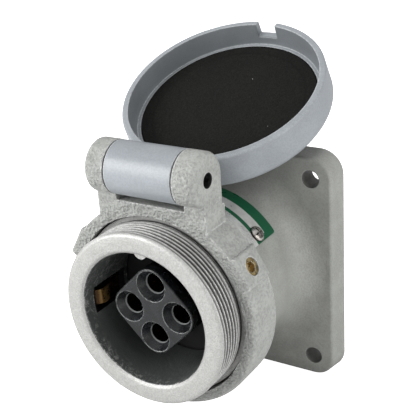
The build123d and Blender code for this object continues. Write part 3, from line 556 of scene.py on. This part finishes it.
# Painted shadow: black deeper than the throats.
post_skin.lay(THROAT_SHADOW, ease(tree, post_skin.y, *THROAT_SHADOW_START))
dress("contact_post", post_skin.done())
# Painted shade: the disc and rear plate coloured near black, darker than the post.
shaded_disc = Finish("disc_phenolic", DISC_PHENOLIC_SHADED, DISC_WEAR_AND_HIGHLIGHT, PHENOLIC_DARK,
                 roughness=0.6, grain=2000.0, depth=0.015, uneven=0.4, edge_wear_and_highlight=0.4, nook_shade=0.3, edge=0.3)
shaded_disc.done()
for name in ("insulator_disc", "insulator_rear"):
    dress(name, shaded_disc.material)

# Contacts: four turned brass tubes, slotted in front and drilled for the wire
# behind, with spring bands round their slots and slotted clamping screws.
CONTACT_BRASS = (0.66, 0.43, 0.16, 1)
CONTACT_BRIGHT = (0.90, 0.68, 0.34, 1)
CONTACT_DARK = (0.14, 0.08, 0.03, 1)
ZINC = (0.50, 0.50, 0.49, 1)
ZINC_BRIGHT = (0.80, 0.80, 0.79, 1)
ZINC_DARK = (0.10, 0.09, 0.08, 1)
tube = Finish("contact_brass", CONTACT_BRASS, CONTACT_BRIGHT, CONTACT_DARK,
              roughness=0.30, metallic=1.0, grain=1800.0, swell=250.0, depth=0.01, uneven=0.5,
              edge_wear_and_highlight=0.5, nook_shade=0.6, edge=0.25, reach=3.0)
tube.done()
for name in ("contact_right", "contact_top", "contact_left", "contact_bottom"):
    dress(name, tube.material)
zinc = Finish("zinc_plated_steel", ZINC, ZINC_BRIGHT, ZINC_DARK,
              roughness=0.36, metallic=0.9, grain=2000.0, swell=300.0, depth=0.01,
              uneven=0.5, edge_wear_and_highlight=0.5, nook_shade=0.6, edge=0.2, reach=2.0)
zinc.done()
for name in ("contact_bands", "terminal_screws", "insulator_screws", "lid_spring"):
    dress(name, zinc.material)

# Ground screw: a green-dyed hexagon head in the rear opening, where the
# green wire is fixed.
DYE = (0.02, 0.20, 0.06, 1)
DYE_WEAR_AND_HIGHLIGHT = (0.35, 0.45, 0.36, 1)
DYE_DARK = (0.01, 0.04, 0.015, 1)
dyed = Finish("green_dyed_zinc", DYE, DYE_WEAR_AND_HIGHLIGHT, DYE_DARK,
              roughness=0.35, metallic=0.5, grain=2000.0, swell=300.0, depth=0.01, uneven=0.5,
              edge_wear_and_highlight=0.6, nook_shade=0.5, edge=0.25, reach=2.0)
dress("ground_screw", dyed.done())

# Hinge collar: a light sand casting with its skin left on, coarse in front and
# rubbed smooth at the sides. Two brass socket screws clamp it to the neck.
CASTING = (0.41, 0.42, 0.40, 1)
CASTING_WEAR_AND_HIGHLIGHT = (0.74, 0.75, 0.73, 1)
CASTING_DARK_AND_SHADE = (0.07, 0.07, 0.065, 1)
PIN_HOLE_SHADOW = (0.012, 0.012, 0.011, 1)
PIN_HOLE_SHADE = (3.45 * MM, 3.2 * MM)
FRONT_FACING = (-0.4, -0.9)
SIDE_GRAIN = 0.3
SOCKET_BRASS = (0.62, 0.47, 0.22, 1)
SOCKET_BRIGHT = (0.95, 0.90, 0.75, 1)
SOCKET_DARK = (0.03, 0.025, 0.02, 1)
HINGE_Y = -65.3 * MM
HINGE_Z = 61.0 * MM
casting = Finish("collar_casting", CASTING, CASTING_WEAR_AND_HIGHLIGHT, CASTING_DARK_AND_SHADE, roughness=0.5,
                 grain=800.0, swell=150.0, depth=1.6, uneven=0.15, pit_shade=0.22, fleck=0.22,
                 edge_wear_and_highlight=0.75, nook_shade=0.6, edge=1.1, reach=3.0)
facing = put(casting.tree, "ShaderNodeSeparateXYZ", {
    0: casting.tree.nodes.new("ShaderNodeNewGeometry").outputs["Normal"]}).outputs[1]
coarse = ease(casting.tree, facing, *FRONT_FACING, SIDE_GRAIN, 1.0)
casting.tree.links.new(coarse, casting.bump.inputs["Strength"])
# Painted shade: the hinge pin holes in the lugs coloured black.
pin_hole = casting.ring(casting.y, casting.z, HINGE_Y, HINGE_Z)
casting.lay(PIN_HOLE_SHADOW, ease(casting.tree, pin_hole, *PIN_HOLE_SHADE))
dress("hinge_collar", casting.done())
socket_brass = Finish("set_screw_brass", SOCKET_BRASS, SOCKET_BRIGHT, SOCKET_DARK,
                      roughness=0.28, metallic=0.85, grain=2200.0, swell=500.0, depth=0.02,
                      uneven=0.6, edge_wear_and_highlight=0.6, nook_shade=0.5, edge=0.4, reach=1.2)
dress("collar_set_screws", socket_brass.done())

# Hinge pin: plain oiled steel rod, pressed in the lugs and sunk below their
# faces, with the cover's barrel and its spring turning on it.
OILED_AND_SHADED = (0.020, 0.019, 0.017, 1)
OILED_BRIGHT = (0.20, 0.20, 0.19, 1)
OILED_DARK = (0.005, 0.005, 0.004, 1)
# Oil-dark steel, also coloured near black as painted shade for the ends sunk in the lugs.
pin_oiled_and_shaded = Finish("pin_steel", OILED_AND_SHADED, OILED_BRIGHT, OILED_DARK,
               roughness=0.35, metallic=0.4, grain=1800.0, swell=300.0, depth=0.02, uneven=0.6,
               edge_wear_and_highlight=0.5, nook_shade=0.9, edge=0.3, reach=4.0)
dress("hinge_pin", pin_oiled_and_shaded.done())

# Seal: a flat black ring that closes the joint between sleeve and insulator.
# Gasket: a disc of black sponge glued in the cover, marked by the sleeve's rim.
OPEN_ANGLE = math.radians(244.3)
HINGE = Vector((0, HINGE_Y, HINGE_Z))
RUBBER = (0.018, 0.018, 0.018, 1)
RUBBER_WEAR_AND_HIGHLIGHT = (0.06, 0.06, 0.06, 1)
RUBBER_DARK = (0.006, 0.006, 0.006, 1)
SPONGE = (0.013, 0.013, 0.0115, 1)
SPONGE_LIGHT = (0.035, 0.035, 0.031, 1)
SPONGE_DARK = (0.004, 0.004, 0.004, 1)
SPONGE_SHINE = 0.15
LINT = (0.45, 0.46, 0.45, 1)
LINT_SCALE = 230.0
LINT_SIZE = 0.055
LINT_FROM = 0.86
MARK_R = 36.0 * MM
MARK_WIDTH = (0.9 * MM, 0.2 * MM)
rubber = Finish("seal_rubber", RUBBER, RUBBER_WEAR_AND_HIGHLIGHT, RUBBER_DARK,
                roughness=0.7, grain=1800.0, depth=0.03, uneven=0.3, edge_wear_and_highlight=0.2, nook_shade=0.2)
dress("sleeve_seal", rubber.done())


def shut(surface):
    """Coordinates of the cover as it lies when shut on the sleeve."""
    turn_back = Matrix.Rotation(OPEN_ANGLE, 4, "X")
    offset = HINGE - turn_back.to_3x3() @ HINGE
    turned_place = put(surface.tree, "ShaderNodeMapping", {
        "Vector": surface.place, "Rotation": (OPEN_ANGLE, 0, 0), "Location": offset},
        vector_type="POINT").outputs[0]
    return put(surface.tree, "ShaderNodeSeparateXYZ", {0: turned_place}).outputs


sponge = Finish("gasket_sponge", SPONGE, SPONGE_LIGHT, SPONGE_DARK,
                roughness=0.85, grain=1300.0, swell=120.0, depth=0.25,
                uneven=0.3, pit_shade=0.6, fleck=0.5, edge_wear_and_highlight=0.1, nook_shade=0.3, edge=0.4, reach=3.0)
sponge.shader.inputs["Specular IOR Level"].default_value = SPONGE_SHINE
tree = sponge.tree
lint = put(tree, "ShaderNodeTexVoronoi", {"Vector": sponge.place, "Scale": LINT_SCALE})
lint_mask = calc(tree, "LESS_THAN", lint.outputs["Distance"], LINT_SIZE)
lint_some = calc(tree, "GREATER_THAN", put(tree, "ShaderNodeSeparateColor", {
    0: lint.outputs["Color"]}).outputs[0], LINT_FROM)
sponge.lay(LINT, calc(tree, "MULTIPLY", lint_mask, lint_some))
flat = shut(sponge)
mark = calc(tree, "ABSOLUTE", calc(tree, "SUBTRACT", sponge.ring(flat[0], flat[2]), MARK_R))
sponge.lay(RUBBER_DARK, ease(tree, mark, *MARK_WIDTH, 0.0, 0.5))
dress("lid_gasket", sponge.done())

# Cover: an aluminium dish with a hinge barrel, sprayed in a smooth blue-grey
# enamel, lighter along its rims as wear and painted highlight.
COVER = (0.32, 0.345, 0.37, 1)
COVER_WEAR_AND_HIGHLIGHT = (0.62, 0.64, 0.65, 1)
COVER_DARK = (0.11, 0.12, 0.125, 1)
SKIRT_R = 44.45 * MM
SKIRT_BACK = 82.9 * MM
SKIRT_FRONT = 72.3 * MM
SKIRT_SHADE = 0.6
cover = Finish("cover_enamel", COVER, COVER_WEAR_AND_HIGHLIGHT, COVER_DARK, roughness=0.34, grain=1300.0,
               swell=80.0, depth=0.08, uneven=0.14, pit_shade=0.12, fleck=0.08, edge_wear_and_highlight=0.8, nook_shade=0.4,
               edge=1.0, reach=3.0)
flat = shut(cover)
# Painted shade: the inside of the skirt darkened in front of its back.
inner = calc(cover.tree, "LESS_THAN", cover.ring(flat[0], flat[2]), SKIRT_R)
shaded_skirt = calc(cover.tree, "MULTIPLY", inner, calc(cover.tree, "GREATER_THAN", flat[1], -SKIRT_BACK))
in_front = calc(cover.tree, "LESS_THAN", flat[1], -SKIRT_FRONT)
cover.lay(COVER_DARK, calc(cover.tree, "MULTIPLY", calc(cover.tree, "MULTIPLY", shaded_skirt, in_front),
                           SKIRT_SHADE))
dress("lid", cover.done())

# Studio: a long lens above and to the right of the nose, a pale sweep that the
# device leans on from its flange's rear edge to its collar's foot, and wide
# soft lamps in a white tent.
AZIMUTH = math.radians(32.73)
ELEVATION = math.radians(22.81)
ROLL = math.radians(-3.73)
CAMERA_PLACE = (0.21435, -0.35696, 0.19434)
FOCAL_LENGTH = 81.0
FILM_WIDTH = 36.0
LAMP_AIM = Vector((0, -0.03, 0.01))
PAPER_GREY = (0.88, 0.88, 0.88, 1)
PAPER_WHITE = (0.94, 0.94, 0.94, 1)
WHITE = (1, 1, 1, 1)
FLOOR_SIZE = 6.0
FLOOR_GAP = 0.3 * MM
WALL_GLOW = 0.31
TOP_GLOW = 0.80

forward = Vector((-math.sin(AZIMUTH) * math.cos(ELEVATION),
                  math.cos(AZIMUTH) * math.cos(ELEVATION), -math.sin(ELEVATION)))
level = Vector((math.cos(AZIMUTH), math.sin(AZIMUTH), 0))
above = level.cross(forward)
right = math.cos(ROLL) * level + math.sin(ROLL) * above
top = math.cos(ROLL) * above - math.sin(ROLL) * level
lens = bpy.data.cameras.new("camera")
lens.lens = FOCAL_LENGTH
lens.sensor_width = FILM_WIDTH
lens.clip_start = 0.01
camera = bpy.data.objects.new("camera", lens)
camera.matrix_world = Matrix.Translation(CAMERA_PLACE) @ Matrix(
    (right, top, -forward)).transposed().to_4x4()
bpy.context.scene.collection.objects.link(camera)
bpy.context.scene.camera = camera

flange_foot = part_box("housing")[0].z
collar_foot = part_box("hinge_collar")
lean = math.atan2(collar_foot[0].z - flange_foot, -(collar_foot[0].y + collar_foot[1].y) / 2)
sweep = bpy.data.materials.new("studio_sweep")
sweep.use_nodes = True
paper = put(sweep.node_tree, "ShaderNodeTexNoise", {
    "Vector": sweep.node_tree.nodes.new("ShaderNodeTexCoord").outputs["Object"], "Scale": 900.0})
white = tint(sweep.node_tree, paper.outputs[0], PAPER_GREY, PAPER_WHITE)
sweep.node_tree.links.new(white, sweep.node_tree.nodes["Principled BSDF"].inputs["Base Color"])
sweep.node_tree.nodes["Principled BSDF"].inputs["Roughness"].default_value = 0.7
seen = sweep.node_tree.nodes.new("ShaderNodeLightPath").outputs["Is Camera Ray"]
sweep.node_tree.nodes["Principled BSDF"].inputs["Emission Color"].default_value = WHITE
sweep.node_tree.links.new(seen, sweep.node_tree.nodes["Principled BSDF"].inputs["Emission Strength"])
floor_mesh = bpy.data.meshes.new("floor")
half = FLOOR_SIZE / 2
floor_mesh.from_pydata([(-half, -half, 0), (half, -half, 0), (half, half, 0), (-half, half, 0)],
                       [], [(0, 1, 2, 3)])
floor = bpy.data.objects.new("floor", floor_mesh)
floor.matrix_world = Matrix.Translation((0, 0, flange_foot - FLOOR_GAP)) @ Matrix.Rotation(-lean, 4, "X")
floor_mesh.materials.append(sweep)
bpy.context.scene.collection.objects.link(floor)


def soft_lamp(name, place, size, watts):
    """A square area lamp that faces the device."""
    data = bpy.data.lights.new(name, "AREA")
    data.size = size
    data.energy = watts
    lamp = bpy.data.objects.new(name, data)
    aim = LAMP_AIM - Vector(place)
    lamp.matrix_world = Matrix.Translation(place) @ aim.to_track_quat("-Z", "Y").to_matrix().to_4x4()
    bpy.context.scene.collection.objects.link(lamp)


soft_lamp("key_lamp", (-0.60, -0.75, 0.40), 0.6, 9)
soft_lamp("fill_lamp", (0.95, -0.10, 0.25), 0.6, 4)
world = bpy.data.worlds.new("studio")
world.use_nodes = True
world.node_tree.nodes["Background"].inputs["Color"].default_value = WHITE
in_view = world.node_tree.nodes.new("ShaderNodeLightPath").outputs["Is Camera Ray"]
sky = world.node_tree.nodes.new("ShaderNodeTexCoord").outputs["Generated"]
upwards = put(world.node_tree, "ShaderNodeSeparateXYZ", {0: sky}).outputs[2]
glow = put(world.node_tree, "ShaderNodeMapRange", {"Value": upwards, "From Min": -0.1, "From Max": 0.9,
                                                   "To Min": WALL_GLOW, "To Max": TOP_GLOW}).outputs[0]
tent = put(world.node_tree, "ShaderNodeMix", {0: in_view, 2: glow, 3: 1.0}, data_type="FLOAT").outputs[0]
world.node_tree.links.new(tent, world.node_tree.nodes["Background"].inputs["Strength"])
bpy.context.scene.world = world
bpy.context.scene.view_settings.view_transform = "Standard"
